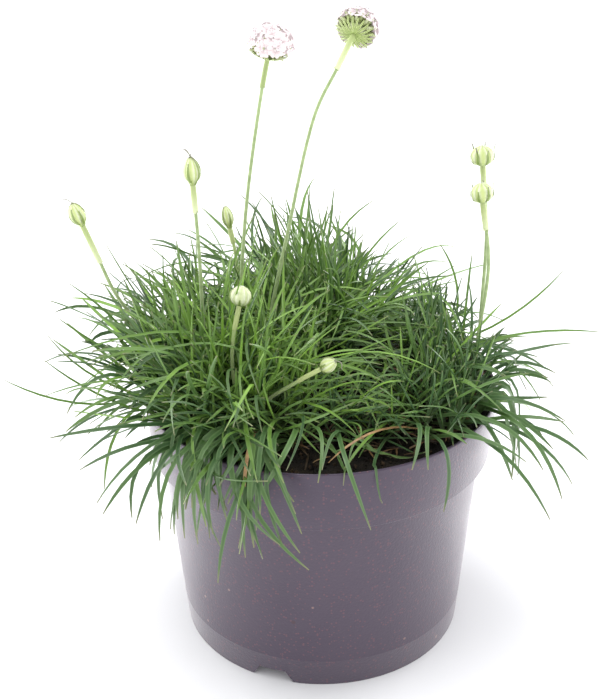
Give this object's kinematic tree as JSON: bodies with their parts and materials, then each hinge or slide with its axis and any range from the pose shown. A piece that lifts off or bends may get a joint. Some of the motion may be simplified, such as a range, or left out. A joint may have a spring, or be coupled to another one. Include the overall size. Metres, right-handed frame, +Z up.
{
  "type": "potted sea thrift",
  "caption": "Cushion of grass-like leaves with slender flower stems, pale open heads and green buds, growing in soil in a tapered grey nursery pot.",
  "frame": {"origin": "on the ground under the middle of the pot", "axes": "+Z up along the pot axis, -Y towards the pictured front, +X to its right"},
  "size_m": [0.272, 0.248, 0.3002],
  "materials": {
    "pot_plastic": "matt recycled grey plastic with fine specks",
    "soil": "rough dark peat",
    "leaf": "satin green",
    "stem": "satin pale green",
    "bract": "papery pale green",
    "bud": "papery greenish white",
    "petal": "thin white to pale pink"
  },
  "bodies": {
    "root": {"pot": "pot_plastic", "soil": "soil", "leaf_tuft_1": "leaf", "leaf_tuft_2": "leaf", "leaf_tuft_3": "leaf", "leaf_tuft_4": "leaf", "leaf_tuft_5": "leaf", "leaf_tuft_6": "leaf", "leaf_tuft_7": "leaf", "leaf_tuft_8": "leaf", "leaf_tuft_9": "leaf", "leaf_tuft_10": "leaf", "leaf_tuft_11": "leaf", "leaf_tuft_12": "leaf", "leaf_tuft_13": "leaf", "leaf_tuft_14": "leaf", "leaf_tuft_15": "leaf", "leaf_tuft_16": "leaf", "leaf_tuft_17": "leaf", "leaf_tuft_18": "leaf", "leaf_tuft_19": "leaf", "leaf_tuft_20": "leaf", "leaf_tuft_21": "leaf", "leaf_tuft_22": "leaf", "stem_open_left": "stem", "bracts_open_left": "bract", "florets_open_left": "petal", "stem_open_right": "stem", "bracts_open_right": "bract", "florets_open_right": "petal", "stem_bud_far_left": "stem", "bracts_bud_far_left": "bract", "florets_bud_far_left": "bud", "stem_bud_left": "stem", "bracts_bud_left": "bract", "florets_bud_left": "bud", "stem_bud_small": "stem", "bracts_bud_small": "bract", "florets_bud_small": "bud", "stem_bud_round": "stem", "bracts_bud_round": "bract", "florets_bud_round": "bud", "stem_bud_low": "stem", "bracts_bud_low": "bract", "florets_bud_low": "bud", "stem_bud_right_upper": "stem", "bracts_bud_right_upper": "bract", "florets_bud_right_upper": "bud", "stem_bud_right_lower": "stem", "bracts_bud_right_lower": "bract", "florets_bud_right_lower": "bud"}
  },
  "joints": []
}
